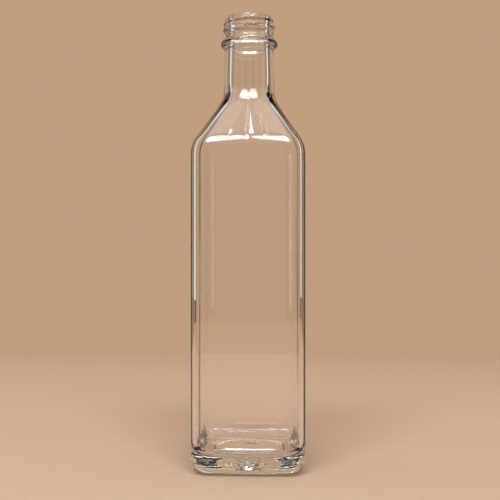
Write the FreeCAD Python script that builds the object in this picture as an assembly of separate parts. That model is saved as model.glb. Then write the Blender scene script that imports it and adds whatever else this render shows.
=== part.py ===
"""A square clear-glass cooking oil bottle with a round neck and a roll-on closure finish.

The bottle is blown in one piece, so it is one closed solid. It stands upright on its foot, with the
origin on the axis in the plane of the foot, +Z up and a panel facing each of +X, -X, +Y and -Y.
All sizes are in millimetres and all arcs in degrees.
"""

import FreeCAD, Part
import math
import os

# Body
total_height = 242.3
body_width = 60.8  # across two facing panels, at their middles
corner_radius = 10.0
panel_arc = 4.0  # what each slightly bowed panel turns through
panel_wall = 2.7
corner_radius_inside = 7.6

# Foot, a rounder square than the body
heel_radius = 7.5
foot_corner_radius = 7.0
foot_arc = 16.0
bearing_width = 3.4  # of the flat ring that the bottle stands on
vault_height = 4.0  # of the hollow under the foot
mould_mark_diameter = 14.0  # round mark that the mould's base plug leaves in the vault
mould_mark_depth = 0.8

# Inside floor
floor_height = 8.5
heel_radius_inside = 8.0
floor_corner_radius = 5.0
crown_margin = 1.5  # of level floor round the crown that rises over the vault
crown_height = 1.6

# Shoulder
shoulder_height = 27.6  # between the corners that its two blends round off
shoulder_blend = 16.0
neck_blend = 18.0
neck_blend_inside = 22.0

# Neck
neck_length = 27.3  # from the shoulder's upper corner to the collar
neck_diameter_bottom = 28.4
neck_diameter_top = 27.0
bore_diameter_bottom = 20.4
bore_diameter_top = 19.0
round_arc = 45.0  # of a side where the outline has become a circle

# Finish, from the collar up
collar_diameter = 31.0
collar_height = 2.8
collar_edge_radius = 1.0
collar_underside = 0.9  # rise of its sloping underside
collar_cone_height = 2.4
groove_diameter = 26.1
groove_height = 1.8
groove_blend = 0.6
land_diameter = 26.8  # wall that carries the closure's thread
land_step = 0.8
land_height = 8.4
lip_radius = 1.3
mouth_diameter = 18.6
mouth_depth = 10.0
mouth_step = 1.0
mouth_lip_radius = 0.9

arc_sections = 7  # loft sections along each rounded stretch
pillow_power = 3  # power that makes a pillow steep at its edge and level at its top


def along(first, last, share):
    """The value that lies at this share of the way from first to last."""
    return first + (last - first) * share


def path_pieces(corners):
    """Turns corners (r, z, blend radius) into straight pieces and tangent arcs.

    A straight piece is (start, end) and an arc is (start, middle, end, centre).
    """
    points = [FreeCAD.Vector(r, 0, z) for r, z, blend in corners]
    pieces = []
    reached = points[0]
    for i in range(1, len(points) - 1):
        blend = corners[i][2]
        back = (points[i - 1] - points[i]).normalize()
        onward = (points[i + 1] - points[i]).normalize()
        half_angle = back.getAngle(onward) / 2
        start = points[i] + back * (blend / math.tan(half_angle))
        end = points[i] + onward * (blend / math.tan(half_angle))
        bisector = (back + onward).normalize()
        centre = points[i] + bisector * (blend / math.sin(half_angle))
        pieces.append((reached, start))
        if blend > 0:
            pieces.append((start, centre - bisector * blend, end, centre))
        reached = end
    pieces.append((reached, points[-1]))
    return pieces


def turned(corners):
    """A solid of revolution about the axis, from a path whose ends lie on it."""
    edges = []
    for piece in path_pieces(corners):
        if len(piece) == 2:
            edges.append(Part.LineSegment(*piece).toShape())
        else:
            edges.append(Part.Arc(*piece[:3]).toShape())
    edges.append(Part.LineSegment(edges[-1].Vertexes[-1].Point, edges[0].Vertexes[0].Point).toShape())
    face = Part.Face(Part.Wire(edges))
    return face.revolve(FreeCAD.Vector(0, 0, 0), FreeCAD.Vector(0, 0, 1), 360)


def arc_points(piece):
    """Evenly spaced points (r, z) on an arc piece, both ends included."""
    start, middle, end, centre = piece
    first = math.atan2(start.z - centre.z, start.x - centre.x)
    last = math.atan2(end.z - centre.z, end.x - centre.x)
    radius = (start - centre).Length
    points = []
    for step in range(arc_sections + 1):
        angle = along(first, last, step / arc_sections)
        points.append((centre.x + radius * math.cos(angle), centre.z + radius * math.sin(angle)))
    return points


def section(half_width, corner, arc, z):
    """A square outline with bowed sides and round corners, as eight tangent arcs.

    half_width is the distance from the axis to a side's middle, corner is the corners' radius and
    arc is the angle that each side turns through. It is a circle where corner equals half_width.
    """
    half_arc = math.radians(arc / 2)
    lean = math.cos(half_arc) - math.sin(half_arc)
    side_radius = (half_width - corner * lean) / (1 - lean)
    side_centre = half_width - side_radius
    corner_centre = (side_centre + (side_radius - corner) * math.cos(half_arc)) * math.sqrt(2)
    edges = []
    for quarter in range(4):
        facing = quarter * math.pi / 2
        diagonal = facing + math.pi / 4
        side = (side_centre, side_radius, facing, half_arc)
        corner_turn = (corner_centre, corner, diagonal, math.pi / 4 - half_arc)
        for reach, radius, middle, half in (side, corner_turn):
            centre = FreeCAD.Vector(reach * math.cos(middle), reach * math.sin(middle), z)
            points = []
            for angle in (middle - half, middle, middle + half):
                points.append(centre + FreeCAD.Vector(math.cos(angle), math.sin(angle), 0) * radius)
            edges.append(Part.Arc(*points).toShape())
    return Part.Wire(edges)


def flare(stations, wide, narrow):
    """A loft through stations (half width, z) that grow narrower from the first to the last.

    wide and narrow are the (corner radius, arc) of the first and the last outline. The outlines
    between them share out the change evenly by their half widths.
    """
    widest = stations[0][0]
    narrowest = stations[-1][0]
    outlines = []
    for half_width, z in stations:
        share = (widest - half_width) / (widest - narrowest)
        corner = along(wide[0], narrow[0], share)
        arc = along(wide[1], narrow[1], share)
        outlines.append(section(half_width, corner, arc, z))
    return Part.makeLoft(outlines, True, False)


def prism(half_width, corner, bottom, top):
    """The straight stretch of the body, outside or inside."""
    face = Part.Face(section(half_width, corner, panel_arc, bottom))
    return face.extrude(FreeCAD.Vector(0, 0, top - bottom))


# Heights and radii that follow from the sizes above
land_z = total_height - land_height
groove_z = land_z - land_step - groove_height
cone_z = groove_z - collar_cone_height
collar_z = cone_z - collar_height
neck_z = collar_z - neck_length
shoulder_z = neck_z - shoulder_height
half_body = body_width / 2
half_foot = half_body - heel_radius
half_inside = half_body - panel_wall
half_floor = half_inside - heel_radius_inside


def body_block(half_width, corner, heel, bottom, foot_corner, neck_radii, blend):
    """A square body with a heel below, a shoulder above and a plain neck up to the collar.

    heel is the heel's radius and bottom its lowest height. neck_radii are those at the shoulder and
    at the collar.
    """
    heel_path = [
        (half_width, shoulder_z, 0),
        (half_width, bottom, heel),
        (0, bottom, 0),
    ]
    shoulder_path = [
        (half_width, bottom + heel, 0),
        (half_width, shoulder_z, shoulder_blend),
        (neck_radii[0], neck_z, blend),
        (neck_radii[1], collar_z, 0),
    ]
    heel_stations = arc_points(path_pieces(heel_path)[1])
    shoulder_pieces = path_pieces(shoulder_path)
    lower = arc_points(shoulder_pieces[1])
    upper = arc_points(shoulder_pieces[3])
    middle = (along(lower[-1][0], upper[0][0], 0.5), along(lower[-1][1], upper[0][1], 0.5))
    neck_radius, neck_start = upper[-1]
    wide = (corner, panel_arc)
    base = flare(heel_stations, wide, (foot_corner, foot_arc))
    body = prism(half_width, corner, bottom + heel, lower[0][1])
    taper = flare(lower + [middle] + upper, wide, (neck_radius, round_arc))
    neck = turned(
        [
            (0, neck_start, 0),
            (neck_radius, neck_start, 0),
            (neck_radii[1], collar_z, 0),
            (0, collar_z, 0),
        ]
    )
    return body.fuse([base, taper, neck])


def finish_block():
    """The collar, the groove under the thread, the land that carries the thread, and the lip."""
    neck_radius = neck_diameter_top / 2
    collar_radius = collar_diameter / 2
    groove_radius = groove_diameter / 2
    land_radius = land_diameter / 2
    return turned(
        [
            (0, collar_z, 0),
            (neck_radius, collar_z, 0),
            (collar_radius, collar_z + collar_underside, collar_edge_radius),
            (collar_radius, cone_z, collar_edge_radius),
            (groove_radius, groove_z, groove_blend),
            (groove_radius, land_z - land_step, groove_blend),
            (land_radius, land_z, groove_blend),
            (land_radius, total_height, lip_radius),
            (0, total_height, 0),
        ]
    )


def bore_block():
    """The hollow of the finish, with a rounded edge at the mouth."""
    bore = bore_diameter_top / 2
    mouth = mouth_diameter / 2
    step_z = total_height - mouth_depth
    rim = mouth + mouth_lip_radius * 2
    above = total_height + mouth_lip_radius
    return turned(
        [
            (0, collar_z, 0),
            (bore, collar_z, 0),
            (bore, step_z - mouth_step, 0),
            (mouth, step_z, 0),
            (mouth, total_height, mouth_lip_radius),
            (rim, total_height, 0),
            (rim, above, 0),
            (0, above, 0),
        ]
    )


def pillow(half_width, corner, bottom, height):
    """A low dome that starts as a rounded square and ends level, at the round mark's outline."""
    top = mould_mark_diameter / 2
    stations = []
    for step in range(arc_sections + 1):
        share = step / arc_sections
        rise = 1 - (1 - share)**pillow_power
        stations.append((along(half_width, top, share), bottom + height * rise))
    return flare(stations, (corner, foot_arc), (top, round_arc))


def vault():
    """The hollow under the foot, with the mark of the mould's plug in the middle."""
    hollow = pillow(half_foot - bearing_width, foot_corner_radius, 0, vault_height)
    mark = Part.makeCylinder(mould_mark_diameter / 2, vault_height + mould_mark_depth)
    return hollow.fuse(mark)


def crown():
    """The inside floor's raised middle, which follows the vault under it."""
    return pillow(half_floor - crown_margin, floor_corner_radius, floor_height, crown_height)


def bottle():
    """The glass: the outer form less the hollow, the bore and the vault."""
    outside = body_block(
        half_body,
        corner_radius,
        heel_radius,
        0,
        foot_corner_radius,
        (neck_diameter_bottom / 2, neck_diameter_top / 2),
        neck_blend,
    )
    inside = body_block(
        half_inside,
        corner_radius_inside,
        heel_radius_inside,
        floor_height,
        floor_corner_radius,
        (bore_diameter_bottom / 2, bore_diameter_top / 2),
        neck_blend_inside,
    )
    hollow = inside.cut(crown()).fuse(bore_block())
    glass = outside.fuse(finish_block()).cut(hollow).cut(vault())
    return glass.removeSplitter().Solids[0]


def main():
    os.makedirs("parts", exist_ok=True)
    glass = bottle()
    glass.exportStep("parts/bottle.step")
    print("glass", round(glass.Volume / 1000, 1), "cm3, closed", glass.isValid())


main()
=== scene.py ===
"""A square clear-glass oil bottle, empty and open, standing on a pale table.

The glass is modelled as a chain of rings, from the middle of the underside out over the foot, up
the outside, over the lip and down the inside to the middle of the floor. It replaces the plain
solid, which has no thread, seam or uneven wall.
"""

import math
import bmesh
import bpy
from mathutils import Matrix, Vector, noise


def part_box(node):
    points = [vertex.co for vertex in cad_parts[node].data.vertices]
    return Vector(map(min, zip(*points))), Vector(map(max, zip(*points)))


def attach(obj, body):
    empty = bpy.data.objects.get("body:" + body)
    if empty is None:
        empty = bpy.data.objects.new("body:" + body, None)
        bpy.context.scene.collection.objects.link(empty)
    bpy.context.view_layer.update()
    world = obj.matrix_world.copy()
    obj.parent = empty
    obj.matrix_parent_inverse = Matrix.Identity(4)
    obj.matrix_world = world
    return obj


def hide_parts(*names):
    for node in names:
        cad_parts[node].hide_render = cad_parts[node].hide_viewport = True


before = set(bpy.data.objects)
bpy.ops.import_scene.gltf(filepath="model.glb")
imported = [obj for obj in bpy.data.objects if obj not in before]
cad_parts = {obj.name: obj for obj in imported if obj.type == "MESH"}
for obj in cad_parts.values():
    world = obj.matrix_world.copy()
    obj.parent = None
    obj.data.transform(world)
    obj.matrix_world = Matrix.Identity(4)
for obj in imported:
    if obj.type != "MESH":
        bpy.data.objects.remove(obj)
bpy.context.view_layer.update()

MM = 0.001
low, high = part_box("bottle")
half_body = (high[0] - low[0]) / 2
total_height = high[2]

# Sizes of the solid that its box doesn't give
wall = 2.7 * MM
corner_radius = 10 * MM
corner_radius_inside = 7.6 * MM
panel_arc = 4
heel_radius = 7.5 * MM
foot_corner_radius = 7 * MM
foot_arc = 16
bearing_width = 3.4 * MM
vault_height = 4 * MM
mark_radius = 7 * MM
mark_depth = 0.8 * MM
floor_height = 8.5 * MM
heel_radius_inside = 8 * MM
floor_corner_radius = 5 * MM
crown_margin = 1.5 * MM
crown_height = 1.6 * MM
shoulder_height = 27.6 * MM
shoulder_blend = 16 * MM
neck_blend = 18 * MM
neck_blend_inside = 22 * MM
neck_length = 27.3 * MM
neck_bottom = 14.2 * MM
neck_top = 13.5 * MM
bore_bottom = 10.2 * MM
bore_top = 9.5 * MM
round_arc = 45
collar_radius = 15.5 * MM
collar_height = 2.8 * MM
collar_underside = 0.9 * MM
collar_cone = 2.4 * MM
groove_radius = 13.05 * MM
groove_height = 1.8 * MM
land_radius = 13.4 * MM
land_step = 0.8 * MM
land_height = 8.4 * MM
lip_radius = 1.3 * MM
mouth_radius = 9.3 * MM
mouth_depth = 10 * MM
mouth_step = 1.0 * MM
mouth_lip_radius = 0.9 * MM

land_z = total_height - land_height
groove_top_z = land_z - land_step
groove_z = groove_top_z - groove_height
cone_z = groove_z - collar_cone
collar_z = cone_z - collar_height
neck_z = collar_z - neck_length
shoulder_z = neck_z - shoulder_height
half_foot = half_body - heel_radius
half_inside = half_body - wall
half_floor = half_inside - heel_radius_inside
mouth_step_z = total_height - mouth_depth

# Sizes that only this model has
hub_radius = 0.8 * MM  # of the small round faces that close the middle of the underside and the floor
mark_groove = (3.1 * MM, 3.8 * MM, 4.6 * MM)  # inner edge, bottom and outer edge of the ring in the mark
mark_groove_depth = 0.6 * MM
mid_finish = 11.6 * MM  # a radius that lies in the wall from the neck up

# How finely the rings are divided
SIDE_CUTS = 14
CORNER_CUTS = 10
BLEND_STEP = math.radians(11)
HEEL_CUTS = 9
PILLOW_CUTS = 6
BODY_CUTS = 24
SHOULDER_CUTS = 8
NECK_CUTS = 6
FINISH_CUTS = 16
RIDGE_CUTS = 6
NEAR = 0.002 * MM
MARGIN = 0.5 * MM

# The thread, by angles that run from the right over the back, the left and the front
THREAD_START = 90
THREAD_END = 720
THREAD_FADE = 50
THREAD_PITCH = 3.175 * MM
THREAD_LIFT = 0.9 * MM
THREAD_WIDTH = 2.4 * MM
THREAD_LOW_TURN = 0.95 * MM
THREAD_HIGH_TURN = 0.42 * MM
THREAD_SEAM_DIP = 0.7  # share of its height that it loses at the seam

# What runs up the middle of the front and back: the mould's seam, and on the shoulder a low ridge
# round it and a broad soft keel under both
SEAM_WIDTH = 0.5 * MM
SEAM_HEIGHT = 0.08 * MM
RIDGE_WIDTH = 2.4 * MM
RIDGE_HEIGHT = 0.07 * MM
KEEL_WIDTH = 22 * MM
KEEL_HEIGHT = 0.1 * MM
RIDGE_SPREAD = 0.75  # how far from the slope's middle both have faded out, in shares of its height

# Blown glass's waves: how high, how long across and how long upright
INNER_WAVES = (0.16 * MM, 26 * MM, 60 * MM)
OUTER_WAVES = (0.05 * MM, 30 * MM, 70 * MM)
OUTER_DROP = 0.13 * MM  # how far the outside lies in, so that waves and keel stay in the solid's box

DIMPLE_RIM = 0.3 * MM
DIMPLE_DEPTH = 0.22 * MM


def deselect_objects():
    bpy.ops.object.select_all(action="DESELECT")


def make_active(piece):
    deselect_objects()
    piece.select_set(True)
    bpy.context.view_layer.objects.active = piece


def outline_reach(angle, half_width, corner, arc):
    """How far a square with bowed sides and round corners reaches from the axis at an angle.

    corner is its corners' radius and arc what each side turns through, in degrees.
    """
    turn = abs((angle + math.pi / 4) % (math.pi / 2) - math.pi / 4)
    half_arc = math.radians(arc / 2)
    lean = math.cos(half_arc) - math.sin(half_arc)
    side_radius = (half_width - corner * lean) / (1 - lean)
    side_centre = half_width - side_radius
    join_x = side_centre + side_radius * math.cos(half_arc)
    join_y = side_radius * math.sin(half_arc)
    if turn <= math.atan2(join_y, join_x):
        return side_centre * math.cos(turn) + math.sqrt(side_radius**2 - (side_centre * math.sin(turn)) ** 2)
    corner_centre = (side_centre + (side_radius - corner) * math.cos(half_arc)) * math.sqrt(2)
    turn = math.pi / 4 - turn
    return corner_centre * math.cos(turn) + math.sqrt(corner**2 - (corner_centre * math.sin(turn)) ** 2)


def ring_reach(place, ring):
    """How far a ring reaches from the axis in the direction of a place."""
    half_width, corner, arc, z, blend = ring
    return outline_reach(math.atan2(place.y, place.x), half_width, corner, arc)


def ring_blank():
    """The body's outline as bare edges: a plane whose corners are cut round and its sides divided."""
    deselect_objects()
    bpy.ops.mesh.primitive_plane_add(size=2 * half_body)
    bpy.ops.object.mode_set(mode="EDIT")
    bpy.ops.mesh.select_all(action="SELECT")
    bpy.ops.mesh.bevel(
        offset=corner_radius, offset_type="OFFSET", segments=CORNER_CUTS, affect="VERTICES", profile=0.5
    )
    bpy.ops.mesh.select_mode(type="EDGE")
    bpy.ops.mesh.select_all(action="DESELECT")
    mesh = bmesh.from_edit_mesh(bpy.context.object.data)
    for edge in mesh.edges:
        edge.select = edge.calc_length() > half_body / 2
    bpy.ops.mesh.subdivide(number_cuts=SIDE_CUTS - 1)
    bpy.ops.mesh.select_mode(type="VERT")
    bpy.ops.mesh.select_all(action="SELECT")
    bpy.ops.mesh.delete(type="ONLY_FACE")
    bpy.ops.object.mode_set(mode="OBJECT")
    return bpy.context.object


def add_ring(blank, ring):
    """A copy of the blank, with every point moved straight out or in to the ring's own outline."""
    piece = blank.copy()
    piece.data = blank.data.copy()
    bpy.context.collection.objects.link(piece)
    for vert in piece.data.vertices:
        outward = Vector((vert.co.x, vert.co.y)).normalized()
        vert.co.xy = outward * ring_reach(vert.co, ring)
        vert.co.z = ring[3]
    return piece


def along(first, last, share):
    return first + (last - first) * share


def heel_rings(half_width, corner, foot_corner, bottom, radius):
    """Rings up a quarter circle, from the flat of the foot or the floor to the straight wall."""
    made = []
    for step in range(HEEL_CUTS + 1):
        lean = math.pi / 2 * (1 - step / HEEL_CUTS)
        share = 1 - math.cos(lean)
        made.append(
            (
                half_width - radius * share,
                along(corner, foot_corner, share),
                along(panel_arc, foot_arc, share**3),
                bottom + radius * (1 - math.sin(lean)),
                0,
            )
        )
    return made


def pillow_rings(half_width, corner, bottom, height, blend):
    """Rings from the edge of a low dome to its level top, where they are as wide as the round mark."""
    made = []
    for step in range(PILLOW_CUTS + 1):
        share = step / PILLOW_CUTS
        made.append(
            (
                along(half_width, mark_radius, share),
                along(corner, mark_radius, share),
                along(foot_arc, round_arc, share**3),
                bottom + height * (1 - (1 - share) ** 3),
                blend if step == 0 else 0,
            )
        )
    return made


def circle(radius, z, blend):
    return (radius, radius, round_arc, z, blend)


# Each ring: half width, corner radius, what its sides turn through, height, and how far its corner
# is blended away
mark_z = vault_height + mark_depth
rings = [
    circle(hub_radius, mark_z, 0),
    circle(mark_groove[0], mark_z, 0.3 * MM),
    circle(mark_groove[1], mark_z - mark_groove_depth, 0.3 * MM),
    circle(mark_groove[2], mark_z, 0.3 * MM),
    circle(mark_radius, mark_z, 0.2 * MM),
    *reversed(pillow_rings(half_foot - bearing_width, foot_corner_radius, 0, vault_height, 0.8 * MM)),
    *heel_rings(half_body, corner_radius, foot_corner_radius, 0, heel_radius),
    (half_body, corner_radius, panel_arc, shoulder_z, shoulder_blend),
    circle(neck_bottom, neck_z, neck_blend),
    circle(neck_top, collar_z, 0.6 * MM),
    circle(collar_radius, collar_z + collar_underside, 1.1 * MM),
    circle(collar_radius, cone_z, 1.2 * MM),
    circle(groove_radius, groove_z, 0.6 * MM),
    circle(groove_radius, groove_top_z, 0.5 * MM),
    circle(land_radius, land_z, 0.6 * MM),
    circle(land_radius, total_height, lip_radius),
    circle(mouth_radius, total_height, mouth_lip_radius),
    circle(mouth_radius, mouth_step_z, 1.5 * MM),
    circle(bore_top, mouth_step_z - mouth_step, 1.5 * MM),
    circle(bore_top, collar_z, 4 * MM),
    circle(bore_bottom, neck_z, neck_blend_inside),
    (half_inside, corner_radius_inside, panel_arc, shoulder_z, shoulder_blend),
    *reversed(
        heel_rings(
            half_inside, corner_radius_inside, floor_corner_radius, floor_height, heel_radius_inside
        )
    ),
    *pillow_rings(half_floor - crown_margin, floor_corner_radius, floor_height, crown_height, 1.5 * MM),
    circle(hub_radius, floor_height + crown_height, 0),
]


def select_rings(*chosen):
    """Selects the edges of these rings, found by their place."""
    bpy.ops.mesh.select_mode(type="VERT")
    bpy.ops.mesh.select_all(action="DESELECT")
    mesh = bmesh.from_edit_mesh(bpy.context.object.data)
    for vert in mesh.verts:
        reach = math.hypot(vert.co.x, vert.co.y)
        level = [ring for ring in chosen if abs(vert.co.z - ring[3]) < NEAR]
        vert.select = any(abs(reach - ring_reach(vert.co, ring)) < NEAR for ring in level)
    mesh.select_flush(True)
    bpy.ops.mesh.select_mode(type="EDGE")


def blend_ring(index):
    """Rounds off the corner that a ring makes with its two neighbours."""
    radius = rings[index][4]
    if radius == 0:
        return
    before, here, after = (Vector((ring[0], ring[3])) for ring in rings[index - 1 : index + 2])
    turn = (here - before).angle(after - here)
    select_rings(rings[index])
    bpy.ops.mesh.bevel(
        offset=radius * math.tan(turn / 2),
        offset_type="OFFSET",
        segments=max(2, math.ceil(turn / BLEND_STEP)),
        affect="EDGES",
        profile=0.5,
        clamp_overlap=False,
    )


def cut_stretch(bottom, top, cuts):
    """Divides the long upright edges between two heights, outside and inside."""
    bpy.ops.mesh.select_mode(type="EDGE")
    bpy.ops.mesh.select_all(action="DESELECT")
    mesh = bmesh.from_edit_mesh(bpy.context.object.data)
    for edge in mesh.edges:
        heights = sorted(vert.co.z for vert in edge.verts)
        inside = heights[0] > bottom and heights[1] < top
        edge.select = inside and heights[1] - heights[0] > (top - bottom) / 2
    bpy.ops.mesh.subdivide(number_cuts=cuts)


def part_seam():
    """Splits the upright line in the middle of the front and back, where the mould's halves meet."""
    bpy.ops.mesh.select_mode(type="EDGE")
    bpy.ops.mesh.select_all(action="DESELECT")
    mesh = bmesh.from_edit_mesh(bpy.context.object.data)
    for edge in mesh.edges:
        edge.select = all(
            abs(vert.co.x) < NEAR and abs(vert.co.y) > outer_reach(vert.co.z) for vert in edge.verts
        )
    bpy.ops.mesh.bevel(
        offset=RIDGE_WIDTH / 2, offset_type="OFFSET", segments=RIDGE_CUTS, affect="EDGES", profile=0.5
    )


def outer_reach(z):
    """A distance from the axis that lies in the wall, between its outside and inside."""
    if z < neck_z:
        share = min(1, max(0, (z - shoulder_z) / shoulder_height))
        return (half_inside + half_body) / 2 + share * ((neck_bottom + bore_bottom) / 2 - half_body)
    return mid_finish


def swell(value, reach):
    """A smooth hump, 1 where value is nought and 0 from reach outwards."""
    return (1 + math.cos(math.pi * min(1, abs(value) / reach))) / 2


def thread_rise(place):
    """How far the thread stands out of the land. It fades in behind and out on the right."""
    around = math.degrees(math.atan2(place.y, place.x)) % 360
    rise = 0
    for angle in (around, around + 360):
        done = (angle - THREAD_START) / (THREAD_END - THREAD_START)
        if done < 0 or done > 1:
            continue
        middle = land_z + THREAD_LIFT + THREAD_PITCH * (angle - THREAD_START) / 360
        height = THREAD_LOW_TURN + (THREAD_HIGH_TURN - THREAD_LOW_TURN) * done
        fade = min(1, (angle - THREAD_START) / THREAD_FADE, (THREAD_END - angle) / THREAD_FADE)
        rise += height * fade * math.sqrt(swell(place.z - middle, THREAD_WIDTH / 2))
    return rise * (1 - THREAD_SEAM_DIP * swell(place.x, SEAM_WIDTH))


def on_shoulder(place):
    """1 halfway up the shoulder's slope, and 0 below and above it."""
    return swell(place.z - (shoulder_z + neck_z) / 2, shoulder_height * RIDGE_SPREAD)


def keel_rise(place):
    """The broad soft keel up the middle of the shoulder, in front and behind, outside and inside."""
    return KEEL_HEIGHT * on_shoulder(place) * swell(place.x, KEEL_WIDTH / 2)


def uneven(place, waves):
    """Blown glass is never quite even: slow swells, longer upright than across."""
    amount, across, upright = waves
    spot = Vector((place.x / across, place.y / across, place.z / upright))
    return amount * noise.noise(spot)


def work_surface(glass):
    """Moves the fine mesh's points for the thread, the seam, the ridge, the keel and the waves."""
    moved = []
    for vert in glass.data.vertices:
        place = vert.co.copy()
        outward = Vector((place.x, place.y, 0))
        reach = outward.length
        outward.normalize()
        if reach < outer_reach(place.z):
            if floor_height < place.z < collar_z:
                place += vert.normal * (uneven(place, INNER_WAVES) - keel_rise(place))
        elif place.z > floor_height - MARGIN:
            if place.z > land_z - MARGIN:
                place += outward * thread_rise(place)
            if place.z < collar_z:
                place -= vert.normal * (OUTER_DROP + uneven(place, OUTER_WAVES))
            place += outward * SEAM_HEIGHT * swell(place.x, SEAM_WIDTH / 2)
            ridge_rise = RIDGE_HEIGHT * on_shoulder(place) * swell(place.x, RIDGE_WIDTH / 2)
            place += vert.normal * (keel_rise(place) + ridge_rise)
        moved.append(place)
    for vert, place in zip(glass.data.vertices, moved):
        vert.co = place


def knurl_foot(glass):
    """Dimples in the ring that the bottle stands on."""
    make_active(glass)
    bpy.ops.object.mode_set(mode="EDIT")
    bpy.ops.mesh.select_mode(type="FACE")
    bpy.ops.mesh.select_all(action="DESELECT")
    mesh = bmesh.from_edit_mesh(glass.data)
    for face in mesh.faces:
        face.select = all(abs(vert.co.z) < NEAR for vert in face.verts)
    bpy.ops.mesh.inset(thickness=DIMPLE_RIM, depth=-DIMPLE_DEPTH, use_individual=True)
    bpy.ops.object.mode_set(mode="OBJECT")


def build_glass():
    """Joins the rings into one closed skin, rounds its corners, refines it and works its surface."""
    blank = ring_blank()
    made = [add_ring(blank, ring) for ring in rings]
    bpy.data.objects.remove(blank)
    make_active(made[0])
    for ring in made:
        ring.select_set(True)
    bpy.ops.object.join()
    glass = bpy.context.object
    glass.name = "bottle_glass"
    bpy.ops.object.mode_set(mode="EDIT")
    for ring, following in zip(rings, rings[1:]):
        select_rings(ring, following)
        bpy.ops.mesh.bridge_edge_loops()
    for end in (rings[0], rings[-1]):
        select_rings(end)
        bpy.ops.mesh.edge_face_add()
    for index in range(len(rings)):
        blend_ring(index)
    cut_stretch(0, shoulder_z, BODY_CUTS)
    cut_stretch(shoulder_z, neck_z, SHOULDER_CUTS)
    cut_stretch(neck_z, groove_top_z, NECK_CUTS)
    cut_stretch(land_z, total_height, FINISH_CUTS)
    part_seam()
    bpy.ops.mesh.select_mode(type="VERT")
    bpy.ops.mesh.select_all(action="SELECT")
    bpy.ops.mesh.normals_make_consistent(inside=False)
    bpy.ops.object.mode_set(mode="OBJECT")
    bpy.ops.object.modifier_add(type="SUBSURF")
    glass.modifiers[-1].levels = 1
    glass.modifiers[-1].render_levels = 1
    bpy.ops.object.modifier_apply(modifier=glass.modifiers[-1].name)
    bpy.ops.object.shade_smooth()
    work_surface(glass)
    knurl_foot(glass)
    return glass


glass = build_glass()
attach(glass, "root")
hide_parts("bottle")


# Materials
GLASS_IOR = 1.52
GLASS_TINT = (0.68, 0.76, 0.68)
TINT_DENSITY = 6
RIPPLE_SCALE = 420
RIPPLE_DEPTH = 0.35 * MM
RIPPLE_STRENGTH = 0.3
RIPPLES_FADE = (7 * MM, 14 * MM)


def add_node(tree, kind, sources=(), **values):
    """Adds a shader node. sources are the outputs that feed its first inputs, None for one left alone."""
    made = tree.nodes.new("ShaderNode" + kind)
    for name, value in values.items():
        setattr(made, name, value)
    for socket, source in zip(made.inputs, sources):
        if source is not None:
            tree.links.new(source, socket)
    return made


def plain_material(name, colour, roughness):
    material = bpy.data.materials.new(name)
    material.use_nodes = True
    shader = material.node_tree.nodes["Principled BSDF"]
    shader.inputs["Base Color"].default_value = (*colour, 1)
    shader.inputs["Roughness"].default_value = roughness
    return material


def share_of(tree, value, first, last, at_first, at_last):
    """Turns a value between first and last into one between at_first and at_last."""
    made = add_node(tree, "MapRange", [value])
    for name, number in (("From Min", first), ("From Max", last), ("To Min", at_first), ("To Max", at_last)):
        made.inputs[name].default_value = number
    return made.outputs[0]


def glass_material():
    """Clear glass, with the fine ripples that the mould leaves in the foot."""
    material = plain_material("clear_glass", (1, 1, 1), 0.0)
    tree = material.node_tree
    shader = tree.nodes["Principled BSDF"]
    shader.inputs["IOR"].default_value = GLASS_IOR
    shader.inputs["Transmission Weight"].default_value = 1
    place = add_node(tree, "TexCoord").outputs["Object"]
    height = add_node(tree, "SeparateXYZ", [place]).outputs["Z"]
    ripples = add_node(tree, "TexNoise", [place])
    ripples.inputs["Scale"].default_value = RIPPLE_SCALE
    ripples.inputs["Detail"].default_value = 1
    relief = add_node(tree, "Bump")
    relief.inputs["Distance"].default_value = RIPPLE_DEPTH
    tree.links.new(ripples.outputs[0], relief.inputs["Height"])
    strength = share_of(tree, height, *RIPPLES_FADE, RIPPLE_STRENGTH, 0)
    tree.links.new(strength, relief.inputs["Strength"])
    tree.links.new(relief.outputs[0], shader.inputs["Normal"])
    tint = add_node(tree, "VolumeAbsorption")
    tint.inputs["Color"].default_value = (*GLASS_TINT, 1)
    tint.inputs["Density"].default_value = TINT_DENSITY
    tree.links.new(tint.outputs[0], tree.nodes["Material Output"].inputs["Volume"])
    return material


glass.data.materials.clear()
glass.data.materials.append(glass_material())


# Stage
TABLE_TONE = (0.62, 0.42, 0.28)
BACKGROUND_TONE = (0.53, 0.34, 0.21)
TABLE_RADIUS = 0.9
BACKDROP_SIZE = 1.3
BACKDROP_Y = 0.45
LAMP_COLOUR = (0.86, 0.94, 1.0)
BANK_IN_GLASS = 1.5  # how bright the two banks show in the glass, against what they throw on the table
RIM_FADE = (0.5, 0.95)  # where the table passes into the background's tone, in shares of its radius
SIDE_FADE = 1.4
TOP_FADE = 1.3


def table_material(share_in_glass):
    """A pale table that passes into the background's tone towards its rim.

    Seen through the glass, it is little darkened by the bottle's own shadow.
    """
    material = plain_material("table_top", TABLE_TONE, 0.7)
    tree = material.node_tree
    paths = add_node(tree, "LightPath")
    place = add_node(tree, "TexCoord").outputs["Object"]
    reach = add_node(tree, "VectorMath", [place], operation="LENGTH").outputs["Value"]
    rim = share_of(tree, reach, TABLE_RADIUS * RIM_FADE[0], TABLE_RADIUS * RIM_FADE[1], 0, 1)
    surface = tree.nodes["Principled BSDF"].outputs[0]
    in_glass = share_of(tree, paths.outputs["Is Transmission Ray"], 0, 1, 0, share_in_glass)
    for share, tone in ((in_glass, TABLE_TONE), (rim, BACKGROUND_TONE)):
        glow = add_node(tree, "Emission")
        glow.inputs["Color"].default_value = (*tone, 1)
        surface = add_node(tree, "MixShader", [share, surface, glow.outputs[0]]).outputs[0]
    tree.links.new(surface, tree.nodes["Material Output"].inputs["Surface"])
    return material


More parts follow.
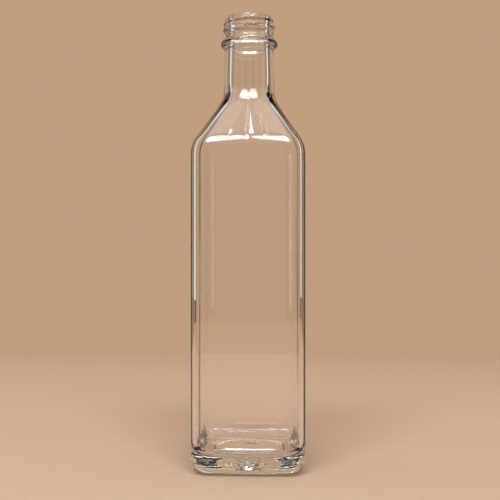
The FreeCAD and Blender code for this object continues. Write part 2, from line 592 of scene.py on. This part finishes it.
def backdrop_material(half_width, height, edge_share):
    """One even tone to the camera. The glass sees it fall off at its sides and top, which draws its edges."""
    material = plain_material("backdrop", BACKGROUND_TONE, 0.9)
    tree = material.node_tree
    paths = add_node(tree, "LightPath")
    straight = paths.outputs["Is Camera Ray"]
    seen = add_node(tree, "Math", [straight, paths.outputs["Is Transmission Ray"]], operation="MAXIMUM")
    place = add_node(tree, "SeparateXYZ", [add_node(tree, "TexCoord").outputs["Object"]])
    across = add_node(tree, "Math", [place.outputs["X"]], operation="ABSOLUTE").outputs[0]
    sides = share_of(tree, across, half_width, half_width * SIDE_FADE, 1, edge_share)
    top = share_of(tree, place.outputs["Y"], height, height * TOP_FADE, 1, edge_share)
    fall = add_node(tree, "Math", [sides, top], operation="MULTIPLY").outputs[0]
    level = add_node(tree, "Math", [straight, fall], operation="MAXIMUM").outputs[0]
    glow = add_node(tree, "Emission", [None, level])
    glow.inputs["Color"].default_value = (*BACKGROUND_TONE, 1)
    plain = tree.nodes["Principled BSDF"].outputs[0]
    mix = add_node(tree, "MixShader", [seen.outputs[0], plain, glow.outputs[0]])
    tree.links.new(mix.outputs[0], tree.nodes["Material Output"].inputs["Surface"])
    return material


deselect_objects()
bpy.ops.mesh.primitive_circle_add(vertices=96, radius=TABLE_RADIUS, fill_type="NGON")
table = bpy.context.object
table.name = "table_top"
table.data.materials.append(table_material(share_in_glass=0.45))
bpy.ops.mesh.primitive_plane_add(
    size=BACKDROP_SIZE, location=(0, BACKDROP_Y, 0), rotation=(math.radians(90), 0, 0)
)
backdrop = bpy.context.object
backdrop.name = "backdrop"
backdrop.data.materials.append(backdrop_material(half_width=0.2, height=0.39, edge_share=0.48))


def softbox(name, azimuth, elevation, distance, size_x, size_y, watts, aim_height):
    """An area light that faces the bottle. Azimuth 0 is in front of it, 90 on its right."""
    around = math.radians(azimuth)
    up = math.radians(elevation)
    away = Vector((math.sin(around) * math.cos(up), -math.cos(around) * math.cos(up), math.sin(up)))
    bpy.ops.object.light_add(type="AREA", location=Vector((0, 0, aim_height)) + away * distance)
    lamp = bpy.context.object
    lamp.name = name
    lamp.rotation_euler = away.to_track_quat("Z", "Y").to_euler()
    lamp.data.shape = "RECTANGLE"
    lamp.data.size = size_x
    lamp.data.size_y = size_y
    lamp.data.energy = watts
    lamp.data.color = LAMP_COLOUR
    return lamp


def round_bank(name, azimuth):
    """A round softbox that shows half as bright again in the glass as it lights the table."""
    lamp = softbox(name, azimuth, 52, 1.3, 0.6, 0.46, 7.5, 0.17)
    lamp.data.shape = "ELLIPSE"
    lamp.data.use_nodes = True
    tree = lamp.data.node_tree
    paths = add_node(tree, "LightPath")
    strength = share_of(tree, paths.outputs["Is Singular Ray"], 0, 1, 1, BANK_IN_GLASS)
    glow = tree.nodes["Emission"]
    glow.inputs["Color"].default_value = (1, 1, 1, 1)
    tree.links.new(strength, glow.inputs["Strength"])


round_bank("bank_front_left", -24)
round_bank("bank_front_right", 21)

# After each name: azimuth, elevation, distance, width, height, watts and the height aimed at
softbox("overhead", 0, 84, 1.2, 0.9, 0.5, 1.3, 0.17)
softbox("streak", -1, 71, 1.2, 0.045, 0.3, 0.7, 0.19)
softbox("side_left", -114, 20, 0.8, 0.36, 0.8, 0.6, 0.14)
softbox("side_right", 118, 20, 0.8, 0.12, 0.8, 0.3, 0.14)
softbox("strip_right", 27, 3, 0.9, 0.07, 0.3, 0.23, 0.12)


# The room round the stage
SOFT_LIGHT = (0.45, 0.45, 0.45)
MIRRORED_ROOM = (0.06, 0.055, 0.05)
DARK_GAPS = (0.06, 0.045, 0.035)
CEILING = (1.2, 1.2, 1.2)
CEILING_EDGE = (0.5, 0.75)
GAP_COUNT = 8
GAP_EDGE = (-0.7, 0.3)


def room_light():
    """Even soft light for the table.

    The glass mirrors a dark room. Through it shows the background's tone, with dark gaps all round
    that draw its edges, and a pale ceiling.
    """
    world = bpy.data.worlds.new("studio")
    world.use_nodes = True
    tree = world.node_tree
    paths = add_node(tree, "LightPath")
    straight = paths.outputs["Is Camera Ray"]
    mirrored = paths.outputs["Is Glossy Ray"]
    through = paths.outputs["Is Transmission Ray"]
    direction = add_node(tree, "SeparateXYZ", [add_node(tree, "TexCoord").outputs["Generated"]])
    above = share_of(tree, direction.outputs["Z"], *CEILING_EDGE, 0, 1)
    around = add_node(tree, "Math", [direction.outputs["Y"], direction.outputs["X"]], operation="ARCTAN2")
    turns = add_node(tree, "Math", [around.outputs[0]], operation="MULTIPLY")
    turns.inputs[1].default_value = GAP_COUNT
    wave = add_node(tree, "Math", [turns.outputs[0]], operation="COSINE").outputs[0]
    gap = share_of(tree, wave, *GAP_EDGE, 1, 0)
    gap_share = add_node(tree, "Math", [through, gap], operation="MULTIPLY").outputs[0]
    ceiling_share = add_node(tree, "Math", [through, above], operation="MULTIPLY").outputs[0]
    light = tree.nodes["Background"]
    light.inputs["Color"].default_value = (*SOFT_LIGHT, 1)
    for share, colour in (
        (mirrored, MIRRORED_ROOM),
        (through, BACKGROUND_TONE),
        (gap_share, DARK_GAPS),
        (ceiling_share, CEILING),
        (straight, BACKGROUND_TONE),
    ):
        tone = add_node(tree, "Background")
        tone.inputs["Color"].default_value = (*colour, 1)
        light = add_node(tree, "MixShader", [share, light.outputs[0], tone.outputs[0]])
    tree.links.new(light.outputs[0], tree.nodes["World Output"].inputs["Surface"])
    return world


bpy.context.scene.world = room_light()

# Camera
turn = math.radians(2)
distance = 0.429
eye_height = 0.116
aim_side = 0.00038
eye = Vector((distance * math.sin(turn), -distance * math.cos(turn), eye_height))
aim = Vector((aim_side, 0, eye_height))
bpy.ops.object.camera_add(location=eye, rotation=(aim - eye).to_track_quat("-Z", "Y").to_euler())
camera = bpy.context.object
camera.data.lens = 56.5
camera.data.sensor_width = 36
bpy.context.scene.camera = camera
bpy.context.scene.view_settings.view_transform = "Standard"

deselect_objects()
